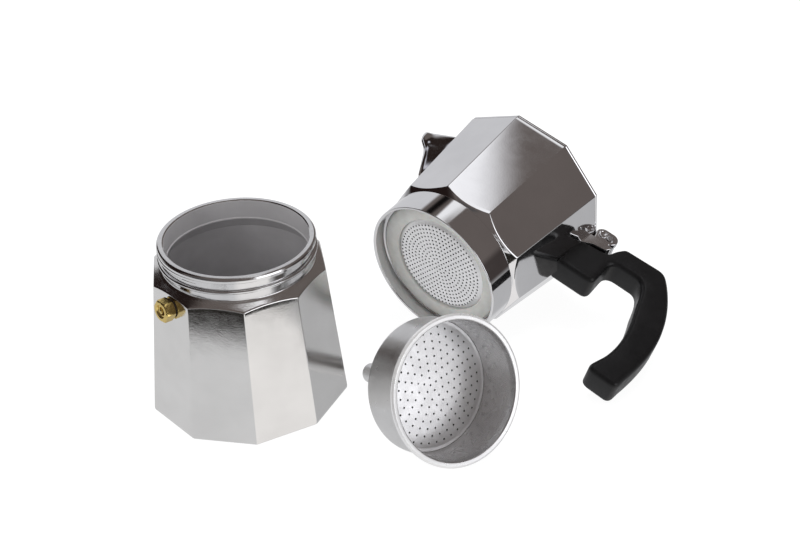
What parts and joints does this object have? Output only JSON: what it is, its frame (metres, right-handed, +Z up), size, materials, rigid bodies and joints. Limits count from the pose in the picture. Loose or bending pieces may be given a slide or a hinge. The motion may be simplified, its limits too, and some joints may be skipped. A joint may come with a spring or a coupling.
{
  "type": "stovetop moka pot",
  "caption": "Stovetop moka pot taken apart: ten-sided boiler with safety valve, coffee funnel, and spouted collector with hinged lid, gasket, filter plate and hook handle.",
  "frame": {"origin": "centre of the boiler's flat base, on the surface that the loose pieces rest on", "axes": "+Z up along the boiler's axis, +X towards the collector's handle side, +Y from the funnel towards the collector"},
  "size_m": [0.2908, 0.2404, 0.1103],
  "materials": {
    "cast_aluminium": "cast and mirror polished outside, matte inside",
    "pressed_aluminium": "satin",
    "valve_brass": "machined",
    "valve_fibre": "matte",
    "steel": "plated",
    "silicone": "soft matte",
    "black_plastic": "satin moulded"
  },
  "bodies": {
    "boiler": {"boiler_casting": "cast_aluminium", "valve_body": "valve_brass", "valve_washer": "valve_fibre", "valve_retainer": "valve_brass", "valve_spring": "steel"},
    "valve_plunger": {"valve_pin": "valve_brass"},
    "funnel": {"funnel_basket": "pressed_aluminium", "funnel_tube": "pressed_aluminium", "funnel_strainer": "pressed_aluminium"},
    "collector": {"collector_casting": "cast_aluminium", "coffee_column": "pressed_aluminium", "gasket": "silicone", "filter_plate": "pressed_aluminium", "hinge_pin": "steel", "handle": "black_plastic", "handle_screw": "steel", "handle_washer": "steel"},
    "lid": {"lid": "cast_aluminium", "lid_knob": "black_plastic", "knob_washer": "steel", "knob_screw": "steel"}
  },
  "joints": [
    {"name": "valve_lift", "type": "slide", "parent": "boiler", "child": "valve_plunger", "axis": [-0.6877, -0.7171, 0.1132], "range_m": [0, 0.0015], "stiffness_N_per_m": 1500, "springref_m": -0.002, "deforming": ["valve_spring"]},
    {"name": "funnel_lift", "type": "slide", "parent": "boiler", "child": "funnel", "axis": [0, 0, 1], "range_m": [0, 0.15]},
    {"name": "collector_lift", "type": "slide", "parent": "boiler", "child": "collector", "axis": [0, 0, 1], "range_m": [0, 0.15]},
    {"name": "lid_hinge", "type": "hinge", "parent": "collector", "child": "lid", "pos_m": [0.20539, 0.07577, 0.03737], "axis": [-0.1389, 0.2787, -0.9503], "range_deg": [0, 105]}
  ]
}
